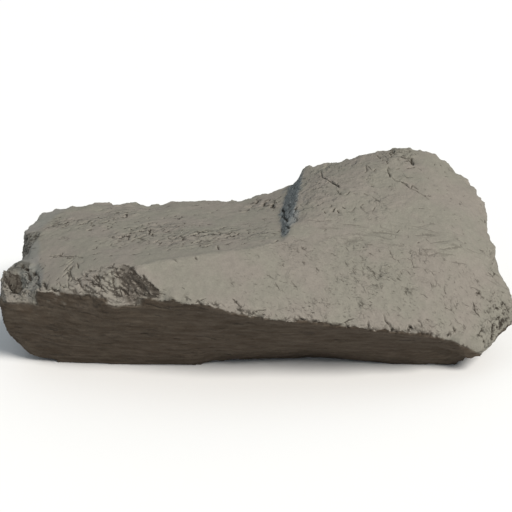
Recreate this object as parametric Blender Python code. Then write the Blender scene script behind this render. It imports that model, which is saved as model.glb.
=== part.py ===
"""A moon rock: one long, low block of grey stone that lies on a flat seat.

It is a slab with an undercut front and a broken left end, and a thicker block
that stands up from its right half, with a small cliff between the two.
"""
import random

import bmesh
import bpy
import numpy
from mathutils import Vector, noise

# Driving dimensions, in metres.
LENGTH = 0.303
UNIT = LENGTH / 303  # the places below count this unit
GRAIN = 1.5 * UNIT  # how fine the stone is worked before it is thinned out
SEAT = 0.9 * UNIT  # height of the slice taken off so that the foot is flat
TRIANGLES = 9300
SEED = 11

# The blocks the stone is made of, by their corners. A block is the smallest convex
# shape round its corners, and the blocks overlap.
SLAB = {
    "left lip": [(-124, -72, 56), (-110, -76, 59), (-98, -79, 61), (-87, -82, 59), (-75, -85, 55)],
    "right lip": [(-40, -84, 55), (2, -82, 43), (82, -76, 33)],
    "front foot": [(-137, -47, 6), (-125, -46, 0), (-90, -49, 0), (120, -49, 0), (137, -41, 5)],
    "shelf front": [(-120, -62, 60), (-111, -64, 63.5), (-99, -66, 66.5), (-88, -68, 70),
                    (-74, -70, 74), (17, -47, 78)],
    "shelf left": [(-126, -52, 60), (-132, -20, 62.5), (-139, 2, 64), (-145, 17, 64.5)],
    "shelf back": [(-137, 47, 65.5), (-114, 64, 64), (-11, 67, 65.5), (60, 68, 66)],
    "left end": [(-148, 18, 57.5), (-148, 12, 55.5), (-145, -4, 53), (-136, -24, 55)],
    "back": [(-138, 30, 30), (-110, 72, 34), (-20, 76, 30), (60, 76, 40), (130, 52, 44),
             (147, 4, 44), (149, -18, 43)],
    "back foot": [(-128, 10, 0), (-100, 52, 0), (-10, 60, 0), (90, 58, 0), (130, 20, 2),
                  (144, -10, 12)],
}
BROW = {
    "lip": [(-53, -90, 62.5), (-39, -91.5, 61), (-25, -93, 59.5), (2, -94, 52.5), (35, -92, 46),
            (71, -88, 40.5), (90, -84, 37.5), (104, -79, 33), (119, -70, 25.5), (131, -61, 16.5),
            (142, -48, 14.5), (151, -45, 22)],
    "broken end": [(-70, -74, 75), (-84, -72, 62), (-76, -80, 54)],
    "slope top": [(-33, -65, 77), (17, -44, 79), (85, -37, 76), (118, -34, 73), (144, -26, 58)],
    "right end": [(151, -28, 43.5), (155, -38, 37.5), (155, -43, 29)],
    "inside": [(-60, -40, 50), (130, -30, 20), (147, -8, 36), (146, -5, 50)],
}
PLATEAU = {
    "front": [(17, -44, 79), (50, -38, 78), (85, -37, 76), (118, -34, 73), (144, -26, 58)],
    "cliff top": [(25.5, -15, 81.5), (26.5, 12, 84.5), (28.5, 38, 87), (30.5, 63, 88), (36, 63, 91)],
    "cliff foot": [(13, -40, 68), (13, 0, 70), (15, 28, 70), (21, 66, 70)],
    "crown": [(55, 62, 93.5), (76, 62, 97.5), (85, 61, 102.5), (100, 60, 105), (112, 58, 103.5)],
    "right end": [(126.5, 51, 96), (137.5, 41, 88), (143.5, 30, 79), (146.5, 20, 72),
                  (146.5, 8, 64.5), (145.5, -5, 57), (145.5, -18, 50)],
    "swell": [(42, 25, 91.5), (105, 5, 89.5)],
    "back": [(30, 76, 60), (60, 80, 50), (110, 72, 50), (136, 50, 44), (146, 10, 40)],
    "inside": [(30, 20, 40), (120, 10, 40)],
}
RAMP = {
    "top": [(-14, 67, 65), (4, 66, 69), (18, 66, 73.5), (24, 66, 76.5), (22, 0, 73), (8, 14, 70.5)],
    "inside": [(-8, 40, 60), (30, 40, 60), (30, 66, 55), (-8, 64, 55)],
}
LUMP = {
    "top": [(-149, -48, 57), (-145, -40, 59.5), (-141, -32, 60), (-132, -30, 60), (-142, -14, 54)],
    "front": [(-116, -72, 52), (-146, -66, 50), (-149, -60, 36), (-147, -51, 21), (-139, -47, 8),
              (-128, -46, 1)],
    "back": [(-145, 10, 40), (-140, 5, 8), (-130, 20, 30), (-120, -40, 20)],
}
CHUNKS = {"brow": BROW, "plateau": PLATEAU, "ramp": RAMP, "lump": LUMP}

# The low arch that is missing from the front of the foot.
ARCH = {
    "mouth": [(-54, -70, -4), (-16, -70, 7.5), (10, -70, 7), (38, -70, 8), (58, -70, 6), (78, -70, -4)],
    "throat": [(-34, -18, -4), (-8, -14, 1.5), (34, -20, 1), (62, -28, -4)],
}

# How the whole surface has weathered: how wide a swell or bump is, and how high.
SWELL = {"size": 40, "height": 1.2}
BUMPS = {"size": 12, "height": 0.5}
EDGES = {"patch": 10, "least": 0.25, "most": 0.95}
BREAKS = [
    {"count": 55, "tilt": 0.17, "depth": 4.0},
    {"count": 150, "tilt": 0.10, "depth": 0.9},
]
CHIPS = {"count": 150, "apart": 6, "size": (4, 9), "depth": (0.4, 1.5)}
CRISP = [[(-66, -80, 67), 22]]  # a place, and how far round it the edges stayed sharp

# Single cracks, pits and notches: where each starts and ends, its width and its depth.
CRACKS = [
    [(85, 24, 94), (105, 5, 88), 1.6, 2.0],
    [(45, 35, 91), (52, 17, 91), 1.5, 2.0],
    [(100, 46, 100), (100, 39, 99), 2.0, 3.0],
    [(95, -76, 43), (101, -78, 36), 1.6, 2.5],
    [(65, -80, 49), (71, -81, 46), 1.4, 1.8],
    [(-138, -49, 57), (-136, -57, 55), 3.2, 6.0],
    [(-130, -36, 61), (-128, -64, 57), 2.2, 3.0],
    [(13, -36, 76), (17, 2, 73), 1.8, 2.0],
]
# Bands where the stone has come away in layers: the middle, the direction, the reach
# along and across it, then the spacing and the height of the layers.
LAYERS = [
    [(-46, 8, 71), (0.96, 0.26, 0.0), 68, 15, 8.0, 0.8],
    [(-100, -73, 64), (0.9, -0.2, -0.38), 34, 12, 6.0, 1.1],
    [(-134, 0, 58), (0.2, 0.97, 0.1), 34, 8, 5.0, 1.0],
    [(-142, -50, 54), (0.6, -0.7, -0.2), 14, 14, 5.0, 1.2],
    [(146, -42, 28), (0.3, 0.3, 0.9), 22, 14, 5.5, 1.1],
]


def corner(place):
    """One place on the stone, in metres."""
    return Vector(place) * UNIT


def chunk(name, parts):
    """A convex block of stone round the given corners."""
    mesh = bpy.data.meshes.new(name)
    shape = bmesh.new()
    for places in parts.values():
        for place in places:
            shape.verts.new(corner(place))
    hull = bmesh.ops.convex_hull(shape, input=shape.verts)
    spare = [item for item in hull["geom_interior"] if isinstance(item, bmesh.types.BMVert)]
    bmesh.ops.delete(shape, geom=spare, context="VERTS")
    bmesh.ops.recalc_face_normals(shape, faces=shape.faces)
    shape.to_mesh(mesh)
    shape.free()
    block = bpy.data.objects.new(name, mesh)
    bpy.context.collection.objects.link(block)
    return block


def as_cutter(block):
    """Keep a helper block out of the finished stone."""
    block.hide_render = True
    block.display_type = "WIRE"
    return block


def join(rock, block, operation):
    """Add a block to the stone, or take it away, with a Boolean."""
    step = rock.modifiers.new(block.name, "BOOLEAN")
    step.operation = operation
    step.object = as_cutter(block)


def settle(rock):
    """Make the result of the stone's modifiers its own mesh."""
    bpy.context.view_layer.update()
    graph = bpy.context.evaluated_depsgraph_get()
    mesh = bpy.data.meshes.new_from_object(rock.evaluated_get(graph))
    rock.modifiers.clear()
    old = rock.data
    rock.data = mesh
    bpy.data.meshes.remove(old)


def edges_of(mesh):
    """Pairs of places that neighbour each other on the stone."""
    pairs = numpy.empty(len(mesh.edges) * 2, dtype=numpy.int32)
    mesh.edges.foreach_get("vertices", pairs)
    return pairs.reshape(-1, 2)


def places_of(mesh):
    """Every place on the stone, and the way the surface faces there."""
    places = numpy.empty(len(mesh.vertices) * 3)
    facing = numpy.empty(len(mesh.vertices) * 3)
    mesh.vertices.foreach_get("co", places)
    mesh.vertices.foreach_get("normal", facing)
    return places.reshape(-1, 3), facing.reshape(-1, 3)


def put_back(mesh, places):
    """Move the stone's surface to the given places."""
    mesh.vertices.foreach_set("co", places.ravel())
    mesh.update()


def softened(places, pairs, rounds):
    """The places after each is drawn to its neighbours a number of times."""
    counts = numpy.bincount(pairs.ravel(), minlength=len(places))[:, None]
    for _ in range(rounds):
        total = numpy.zeros_like(places)
        numpy.add.at(total, pairs[:, 0], places[pairs[:, 1]])
        numpy.add.at(total, pairs[:, 1], places[pairs[:, 0]])
        places = places + (total / counts - places) * 0.5
    return places


def rough(places, size, octaves, shift):
    """A rolling roughness between about -1 and 1 at every place."""
    grid = places / (size * UNIT) + shift
    return numpy.array([noise.fractal(Vector(spot), 1.0, 2.0, octaves) for spot in grid])


def break_faces(mesh):
    """Break the back and the two ends into uneven flats with low ledges between them."""
    dice = random.Random(SEED + 1)
    places, facing = places_of(mesh)
    ends = numpy.clip(numpy.abs(facing[:, 0]) * 2.2 - 1.2, 0, 1)
    ends *= numpy.clip(numpy.abs(places[:, 0]) / UNIT / 10 - 10, 0, 1)
    ends *= numpy.clip(places[:, 1] / UNIT / 20 + 0.8, 0, 1)
    hidden = numpy.clip(numpy.maximum(facing[:, 1] * 1.6 - 0.5, ends), 0, 1)
    bent = places + numpy.stack([rough(places, 16, 2, turn) for turn in (1.9, 4.1, 7.7)], 1) * 4 * UNIT
    for size in BREAKS:
        best = numpy.full(len(places), numpy.inf)
        lift = numpy.zeros(len(places))
        for _ in range(size["count"]):
            middle = places[dice.randrange(len(places))]
            lean = numpy.array([dice.uniform(-1, 1) for _ in range(3)]) * size["tilt"]
            drop = dice.uniform(0, size["depth"]) * UNIT
            gap = numpy.linalg.norm(bent - middle, axis=1)
            nearer = gap < best
            best[nearer] = gap[nearer]
            lift[nearer] = ((bent - middle) @ lean - drop)[nearer]
        places = places + facing * (numpy.minimum(lift, 0.5 * UNIT) * hidden)[:, None]
    pairs = edges_of(mesh)
    put_back(mesh, places + (softened(places, pairs, 2) - places) * hidden[:, None])


def wear_edges(mesh):
    """Round the sharp edges of the stone, more in some places than others."""
    pairs = edges_of(mesh)
    places, facing = places_of(mesh)
    bulge = ((places - softened(places, pairs, 30)) * facing).sum(1) / UNIT
    calm = numpy.clip(1.3 - numpy.abs(bulge) / 0.35, 0, 1)
    places = places + (softened(places, pairs, 90) - places) * calm[:, None]
    sharp = numpy.clip(bulge / 1.5, 0, 1)
    patch = EDGES["least"] + rough(places, EDGES["patch"], 2, 3.7) * 1.2
    share = numpy.clip(patch, 0.0, EDGES["most"]) * sharp
    for middle, reach in CRISP:
        gap = numpy.linalg.norm(places / UNIT - numpy.array(middle), axis=1)
        fresh = numpy.clip(gap / reach * 2 - 1, 0.1, 1)
        share = share * fresh
        sharp = sharp * fresh
    places = places + (softened(places, pairs, 14) - places) * share[:, None]
    put_back(mesh, places)
    return sharp


def knock_chips(mesh, sharp):
    """Break flat chips off the sharp edges."""
    dice = random.Random(SEED)
    places, _ = places_of(mesh)
    pairs = edges_of(mesh)
    broad = softened(places, pairs, 12)
    inward = places - softened(places, pairs, 60)
    inward = inward / (numpy.linalg.norm(inward, axis=1)[:, None] + 1e-9)
    likely = numpy.flatnonzero(sharp > 0.55)
    taken = []
    for _ in range(CHIPS["count"] * 6):
        if len(taken) == CHIPS["count"]:
            break
        pick = int(likely[dice.randrange(len(likely))])
        if any(numpy.linalg.norm(broad[pick] - broad[old]) < CHIPS["apart"] * UNIT for old in taken):
            continue
        taken.append(pick)
        size = dice.uniform(*CHIPS["size"]) * UNIT
        depth = dice.uniform(*CHIPS["depth"]) * UNIT
        tilt = numpy.array([dice.uniform(-0.5, 0.5) for _ in range(3)])
        out = inward[pick] + tilt
        out = out / numpy.linalg.norm(out)
        gap = numpy.linalg.norm(places - places[pick], axis=1)
        fade = numpy.clip((size - gap) / (0.3 * size), 0, 1)
        over = numpy.clip(places @ out - (places[pick] @ out - depth), 0, None)
        places = places - out * (over * fade)[:, None]
    put_back(mesh, places)


def roughen(mesh):
    """Give the broad faces their slow swells and their smaller bumps."""
    places, facing = places_of(mesh)
    lift = rough(places, SWELL["size"], 2, 11.3) * SWELL["height"]
    lift += rough(places, BUMPS["size"], 3, 5.1) * BUMPS["height"]
    put_back(mesh, places + facing * (lift * UNIT)[:, None])


def peel_layers(mesh):
    """Leave small ledges where the stone has come away in layers."""
    places, facing = places_of(mesh)
    lift = numpy.zeros(len(places))
    for middle, way, along, across, spacing, height in LAYERS:
        way = numpy.array(way) / numpy.linalg.norm(way)
        offset = places / UNIT - numpy.array(middle)
        run = offset @ way
        side = numpy.linalg.norm(offset - run[:, None] * way, axis=1)
        near = numpy.clip(1.6 - 1.6 * ((run / along) ** 2 + (side / across) ** 2), 0, 1)
        if not near.any():
            continue
        phase = (run * 0.75 + offset[:, 1] * 0.6 + offset[:, 2] * 0.4) / spacing
        phase = phase + rough(places, spacing * 1.6, 2, 8.8) * 1.1
        ledge = phase - numpy.floor(phase)
        lift += near * height * (ledge ** 2 - 0.4)
    put_back(mesh, places + facing * (lift * UNIT)[:, None])


def open_cracks(mesh):
    """Cut the single cracks, pits and the notch in the left end."""
    places, facing = places_of(mesh)
    depth = numpy.zeros(len(places))
    for start, end, width, deep in CRACKS:
        start = numpy.array(start)
        line = numpy.array(end) - start
        share = numpy.clip(((places / UNIT - start) @ line) / (line @ line), 0, 1)
        gap = numpy.linalg.norm(places / UNIT - start - share[:, None] * line, axis=1)
        narrow = 0.55 + 0.45 * numpy.sin(numpy.pi * share)
        depth = numpy.maximum(depth, deep * numpy.exp(-((gap / (width * narrow)) ** 2)))
    put_back(mesh, places - facing * (depth * UNIT)[:, None])


def weather(rock):
    """Turn the bare blocks into worn stone."""
    grain = rock.modifiers.new("grain", "REMESH")
    grain.mode = "VOXEL"
    grain.voxel_size = GRAIN
    settle(rock)
    break_faces(rock.data)
    sharp = wear_edges(rock.data)
    knock_chips(rock.data, sharp)
    roughen(rock.data)
    peel_layers(rock.data)
    open_cracks(rock.data)
    thin = rock.modifiers.new("thin", "DECIMATE")
    thin.ratio = min(1.0, TRIANGLES / (2 * len(rock.data.polygons)))
    settle(rock)


def set_down(rock):
    """Slice the foot flat and put the middle of the seat at the origin."""
    size = LENGTH * 2
    bpy.ops.mesh.primitive_cube_add(size=size, location=(0, 0, SEAT - size / 2))
    ground = bpy.context.object
    ground.name = "ground"
    join(rock, ground, "DIFFERENCE")
    settle(rock)
    places, _ = places_of(rock.data)
    low = places.min(0)
    high = places.max(0)
    shift = numpy.array([-(low[0] + high[0]) / 2, -(low[1] + high[1]) / 2, -low[2]])
    put_back(rock.data, places + shift)
    return shift


def dress(rock):
    """Give the stone its dull grey surface."""
    grey = bpy.data.materials.new("rock")
    grey.use_nodes = True
    shader = grey.node_tree.nodes["Principled BSDF"]
    shader.inputs["Base Color"].default_value = (0.29, 0.275, 0.245, 1.0)
    shader.inputs["Roughness"].default_value = 0.95
    shader.inputs["Metallic"].default_value = 0.0
    rock.data.materials.clear()
    rock.data.materials.append(grey)


def clear_scene():
    """Start from an empty scene."""
    for item in list(bpy.data.objects):
        bpy.data.objects.remove(item)


def main():
    """Build the stone."""
    clear_scene()
    rock = chunk("rock", SLAB)
    for name, parts in CHUNKS.items():
        join(rock, chunk(name, parts), "UNION")
    join(rock, chunk("arch", ARCH), "DIFFERENCE")
    settle(rock)
    weather(rock)
    shift = set_down(rock)
    dress(rock)
    return shift


main()
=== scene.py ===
import math

import bpy
import numpy
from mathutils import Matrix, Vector, kdtree, noise


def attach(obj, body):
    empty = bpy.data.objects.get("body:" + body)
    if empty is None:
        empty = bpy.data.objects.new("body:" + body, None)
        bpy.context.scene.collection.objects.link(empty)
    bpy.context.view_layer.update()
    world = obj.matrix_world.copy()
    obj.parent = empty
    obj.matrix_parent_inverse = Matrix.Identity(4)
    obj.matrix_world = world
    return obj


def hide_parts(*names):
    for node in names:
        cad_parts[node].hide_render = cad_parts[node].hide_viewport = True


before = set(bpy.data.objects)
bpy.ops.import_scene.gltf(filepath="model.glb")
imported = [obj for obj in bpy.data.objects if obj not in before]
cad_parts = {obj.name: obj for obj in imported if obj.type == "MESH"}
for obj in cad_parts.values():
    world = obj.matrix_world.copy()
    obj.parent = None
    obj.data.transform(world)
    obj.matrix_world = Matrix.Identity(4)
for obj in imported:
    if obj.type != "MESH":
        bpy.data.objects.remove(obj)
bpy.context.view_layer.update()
print("frame loaded")

millimetre = 0.001

cameraValues = {
    "elevation": 22.0,  # degrees above the floor
    "distance": 0.750,
    "target": (-0.0028, 0.0070, 0.0501),
    "lens": 85.0,
    "nearest": 0.01,  # nothing nearer than this is drawn
}


def makeCamera():
    lift = math.radians(cameraValues["elevation"])
    back = Vector((0.0, -math.cos(lift), math.sin(lift)))
    bpy.ops.object.camera_add(location=Vector(cameraValues["target"]) + back * cameraValues["distance"])
    camera = bpy.context.object
    camera.name = "viewCamera"
    camera.data.lens = cameraValues["lens"]
    camera.data.clip_start = cameraValues["nearest"]
    camera.rotation_mode = "QUATERNION"
    camera.rotation_quaternion = (-back).to_track_quat("-Z", "Y")
    bpy.context.scene.camera = camera


studioValues = {
    "floorSize": 30.0,
    "floorColor": (0.87, 0.87, 0.87),
    "floorRoughness": 0.9,
    "floorGloss": 0.1,
    "skyColor": (0.86, 0.94, 1.0),
    "skyStrength": 0.46,
    "keyTurn": 38.0,  # degrees round to the right of the camera
    "keyLift": 46.0,  # degrees above the floor
    "keySpread": 22.0,  # how wide the light is, which softens its shadow
    "keyDistance": 2.0,
    "keyStrength": 3.45,
    "keyColor": (1.0, 0.955, 0.89),
}


def makeFloor():
    bpy.ops.mesh.primitive_plane_add(size=studioValues["floorSize"], location=(0, 0, 0))
    floor = bpy.context.object
    floor.name = "studioFloor"
    paint = bpy.data.materials.new("paleFloor")
    paint.use_nodes = True
    shader = paint.node_tree.nodes["Principled BSDF"]
    shader.inputs["Base Color"].default_value = (*studioValues["floorColor"], 1.0)
    shader.inputs["Roughness"].default_value = studioValues["floorRoughness"]
    shader.inputs["Specular IOR Level"].default_value = studioValues["floorGloss"]
    floor.data.materials.append(paint)


def makeLights():
    turn = math.radians(studioValues["keyTurn"])
    lift = math.radians(studioValues["keyLift"])
    toKey = Vector((math.sin(turn) * math.cos(lift), -math.cos(turn) * math.cos(lift), math.sin(lift)))
    bpy.ops.object.light_add(type="SUN", location=toKey * studioValues["keyDistance"])
    key = bpy.context.object
    key.name = "keyLight"
    key.data.angle = math.radians(studioValues["keySpread"])
    key.data.energy = studioValues["keyStrength"]
    key.data.color = studioValues["keyColor"]
    key.rotation_mode = "QUATERNION"
    key.rotation_quaternion = toKey.to_track_quat("Z", "Y")
    sky = bpy.data.worlds.new("studioSky")
    sky.use_nodes = True
    shade = sky.node_tree.nodes["Background"]
    shade.inputs["Color"].default_value = (*studioValues["skyColor"], 1.0)
    shade.inputs["Strength"].default_value = studioValues["skyStrength"]
    bpy.context.scene.world = sky
    bpy.context.scene.view_settings.view_transform = "Standard"


# reading, choosing and moving vertices
def selectOnly(piece):
    bpy.ops.object.select_all(action="DESELECT")
    piece.select_set(True)
    bpy.context.view_layer.objects.active = piece


def applyModifier(piece, kind, **values):
    selectOnly(piece)
    step = piece.modifiers.new(kind.lower(), kind)
    for name, value in values.items():
        setattr(step, name, value)
    bpy.ops.object.modifier_apply(modifier=step.name)


def readMesh(piece):
    mesh = piece.data
    places = numpy.empty(len(mesh.vertices) * 3)
    facing = numpy.empty(len(mesh.vertices) * 3)
    mesh.vertices.foreach_get("co", places)
    mesh.vertices.foreach_get("normal", facing)
    return places.reshape(-1, 3), facing.reshape(-1, 3)


def writeMesh(piece, places):
    piece.data.vertices.foreach_set("co", places.ravel())
    piece.data.update()


def readEdges(piece):
    pairs = numpy.empty(len(piece.data.edges) * 2, dtype=numpy.int32)
    piece.data.edges.foreach_get("vertices", pairs)
    return pairs.reshape(-1, 2)


def relax(values, pairs, rounds):
    # draws each value toward its neighbours' mean
    size = len(values)
    counts = numpy.bincount(pairs.ravel(), minlength=size)
    flat = values.reshape(size, -1)
    for _ in range(rounds):
        total = numpy.empty_like(flat)
        for axis in range(flat.shape[1]):
            total[:, axis] = numpy.bincount(pairs[:, 0], flat[pairs[:, 1], axis], size)
            total[:, axis] += numpy.bincount(pairs[:, 1], flat[pairs[:, 0], axis], size)
        flat = flat + (total / counts[:, None] - flat) * 0.5
    return flat.reshape(values.shape)


def rollingNoise(places, scale, octaves, shift=0.0):
    # scale in metres; other shifts give other patterns
    spots = map(Vector, places / scale + shift)
    return numpy.array([noise.fractal(spot, 1.0, 2.0, octaves) for spot in spots])


def rise(values, low, high):
    # 0 at low, 1 at high, smooth between
    share = numpy.clip((values - low) / (high - low), 0.0, 1.0)
    return share * share * (3.0 - 2.0 * share)


def patchy(places, size, low, high, shift=0.0):
    # blotches of about size mm, 0 where the noise is under low and 1 where it is over high
    return rise(rollingNoise(places, size * millimetre, 2, shift), low, high)


def flakes(places, size, turn, stretch, levels, shift=0.0):
    # thin overlapping sheets about size mm wide, drawn out along a plan direction; from -1 to 1
    angle = math.radians(turn)
    along = places[:, 0] * math.cos(angle) + places[:, 1] * math.sin(angle)
    across = places[:, 1] * math.cos(angle) - places[:, 0] * math.sin(angle)
    turned = numpy.stack([along / stretch, across, places[:, 2]], axis=1)
    level = rollingNoise(turned, size * millimetre, 3, shift) * levels
    whole = numpy.floor(level)
    return (whole + rise(level - whole, 0.38, 0.62)) / levels


def makeCopy(nodeName, pieceName):
    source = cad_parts[nodeName]
    piece = bpy.data.objects.new(pieceName, source.data.copy())
    bpy.context.scene.collection.objects.link(piece)
    piece.data.materials.clear()
    selectOnly(piece)
    bpy.ops.object.mode_set(mode="EDIT")
    bpy.ops.mesh.select_all(action="SELECT")
    bpy.ops.mesh.remove_doubles(threshold=0.00001)
    bpy.ops.object.mode_set(mode="OBJECT")
    return piece


# the stone
stoneValues = {
    "grid": 0.65 * millimetre,  # of the skin that takes the marks
    "quickGrid": 0.95 * millimetre,
    "triangles": 196000,
    "quickTriangles": 120000,
    "sparing": 0.0003,  # how much sooner plain and hidden ground loses triangles
    "seed": 7,
    "crispEdge": (0.15, 0.6),  # from how far an edge stands out, in mm, it stays crisp
    "calmReach": 4.5,  # how far the broad faces are smoothed, in mm
    "crispReach": 1.2,  # and how far the crisp edges are
    "creaseBack": -34.0,  # plan y of the fold between top and front slope on the right, in mm
    "creaseForward": 34.0,  # how much further forward its left end is
    "creaseStart": 20.0,  # plan x where it starts to come forward
    "creaseRun": 86.0,
    "creaseBulge": (-8.0, 14.0, 4.0),  # plan x, reach and depth of the swell in it
    "lineShare": 0.45,  # how much of a mark's half width its painted shade line fills
    "wander": 1.2,  # how far the edges of the patches wander, in mm
    "hollowReach": 1.6,  # how far round a place its hollow is measured, in mm
    "warmGrey": (0.218, 0.197, 0.171),
    "greenGrey": (0.209, 0.197, 0.166),
    # a bluish painted shade, for faces turned from the light
    "coldGrey": (0.150, 0.170, 0.180),
    # brown painted shade of the furrowed facet, which is turned from the light
    "brownGrey": (0.120, 0.098, 0.078),
    # darker on the left end's rough pieces, and painted shade on the hollow facet
    "grimeGrey": (0.098, 0.094, 0.082),
    "stain": (0.055, 0.041, 0.029),  # of the under side: partly stain, partly painted shade
    "deep": (0.033, 0.027, 0.021),  # the painted shade of marks and hollows, which show it as far as these shades say
    "markShade": 0.92,
    "fineShade": 0.78,
    "curlShade": 0.45,
    "hollowShade": 0.72,
    "sheetShade": 0.22,
    "lipShade": 0.85,
    "darkestTone": 0.94,  # of mottle and grain
    "lightestTone": 1.06,
    "proudTone": 1.18,  # painted highlight on what stands out
    "slopeTone": 0.965,
    "streakTone": 0.13,  # how far the streaks of the under side go from its own tone
    "patchScale": 45.0,
    "mottleScale": 260.0,
    "grainScale": 1100.0,
    "streakScale": 420.0,
    "curlScale": 330.0,
    "slopeTurn": -48.0,  # plan direction of what runs down the slope, in degrees
    "shelfTurn": 42.0,  # and of what runs along the shelf
    "roughness": 0.95,
    "gloss": 0.15,
}

# where the outline is pulled about: a place, how far it goes, and how far round it the skin follows, in mm
stonePulls = [
    ((-14, -48, 2), (0, 7, -3), 24),
    ((8, -47, 2), (0, 11, -5), 26),
    ((34, -47, 2), (0, 12, -5), 26),
    ((56, -48, 2), (0, 7, -3), 22),
    ((120, -52, 16), (0, -2, -5), 22),
    ((132, -50, 26), (1, -3, -5), 18),
    ((140, -44, 29), (2, -1, -3), 12),
    ((120, -55, 21), (0, -1, -3), 12),
    ((127, -52, 20), (1, -1, -4.5), 14),
    ((134, -48, 23), (1, -1, -5), 14),
    ((144, -44, 24), (-2, 1, 2.5), 10),
    ((140, -48, 18), (-2.5, 2, 2), 10),
    ((132, -54, 15), (-1, 1, 1.5), 8),
    ((134, 32, 80), (5, 0, 1), 17),
    ((138, -6, 64), (2.5, 0, 0), 9),
    ((141, -22, 54), (-3.5, 0, 0), 12),
    ((-133, -58, 48), (1, 2, 5), 9),
    ((-127, -61, 51), (0, 1, 5), 10),
    ((-118, -65, 52), (0, 1, 3), 10),
    ((-108, -69, 53), (0, 1, 4), 10),
    ((-94, -73, 52), (0, 1, 5), 10),
    ((-72, -78, 53), (0, 1, 4), 9),
    ((-149, -41, 57), (-2, 1, 3), 9),
    ((-144, -31, 59), (0, 2, 2), 8),
    ((-111, 55, 65), (0, 0, 2), 9),
    ((-70, 62, 65), (0, -2, -3.6), 17),
    ((-8, -46, 77), (0, -4.5, 0), 13),
]

# plan outlines round the places with a surface of their own: over how many mm each one fades, whether
# its edge wanders, and its corners in mm, either way round
stonePatches = {
    "band": (2.0, True, [(-106, -60), (-97, -57), (-75, -62), (-69, -71), (-68, -88), (-108, -76)]),
    "band tip": (2.0, False, [(-74, -70), (-69, -71), (-55, -79), (-58, -88), (-76, -88)]),
    "furrowed": (1.0, False, [(-82, -66), (-75, -62), (-69, -71), (-68, -80), (-75, -76)]),
    "furrowed tip": (1.0, False, [(-74, -70), (-69, -71), (-55, -79), (-59, -81), (-75, -76)]),
    "tarnish": (1.5, True, [(-150, 15), (-137, 13), (-136, 6), (-138, -2), (-143, -8), (-152, -9)]),
    "cold rim": (5.0, False, [(-148, 14), (-148, 48), (-128, 68), (-124, 62), (-138, 14)]),
    "cold end": (2.0, True, [(-152, 2), (-136, 2), (-133, -12), (-131, -29), (-152, -29)]),
    "cold block": (2.0, True, [(-144, -31), (-130, -29), (-125, -48), (-127, -58), (-133, -57), (-139, -44)]),
    "grimy top": (1.0, True, [(-149, -31), (-145, -24), (-137, -26), (-136, -35), (-143, -36)]),
    "grimy chunk": (1.0, True, [(-153, -38), (-148, -31), (-144, -34), (-143, -40),
                                (-146, -47), (-152, -47)]),
    "lump": (2.0, True, [(-156, -28), (-138, -28), (-129, -44), (-126, -58), (-140, -64), (-156, -58)]),
    "hollow": (1.0, True, [(-149, -42), (-144, -38), (-140, -40), (-137, -51), (-141, -53), (-146, -47)]),
    "wall foot": (4.0, False, [(14, -18), (17, -20), (23, -11), (23, 0), (18, 8), (14, 4)]),
    "soiled lip": (1.0, True, [(-118, -66), (-100, -65), (-87, -70), (-85, -80), (-118, -80)]),
    "corner": (5.0, True, [(136, -34), (150, -30), (156, -44), (140, -62), (128, -56)]),
    "crown": (6.0, True, [(78, 62), (79, 48), (84, 44), (96, 46), (100, 60), (90, 68)]),
}


def insidePatch(x, y, soft, corners):
    # 1 well inside and 0 outside
    sides = list(zip(corners, corners[1:] + corners[:1]))
    area = sum(first[0] * last[1] - last[0] * first[1] for first, last in sides)
    least = numpy.full(len(x), 1e6)
    for first, last in sides:
        run = (last[0] - first[0], last[1] - first[1])
        gap = ((x - first[0]) * run[1] - (y - first[1]) * run[0]) / math.hypot(*run)
        least = numpy.minimum(least, gap if area < 0 else -gap)
    return rise(least, -0.5 * soft, 0.5 * soft)


def creaseLine(x):
    # plan y where the top folds over into the front slope
    start, run = stoneValues["creaseStart"], stoneValues["creaseRun"]
    middle, reach, depth = stoneValues["creaseBulge"]
    line = stoneValues["creaseBack"] - stoneValues["creaseForward"] * numpy.clip((start - x) / run, 0, 1)
    return line - depth * rise(-numpy.abs(x - middle), -reach, 0)


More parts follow.
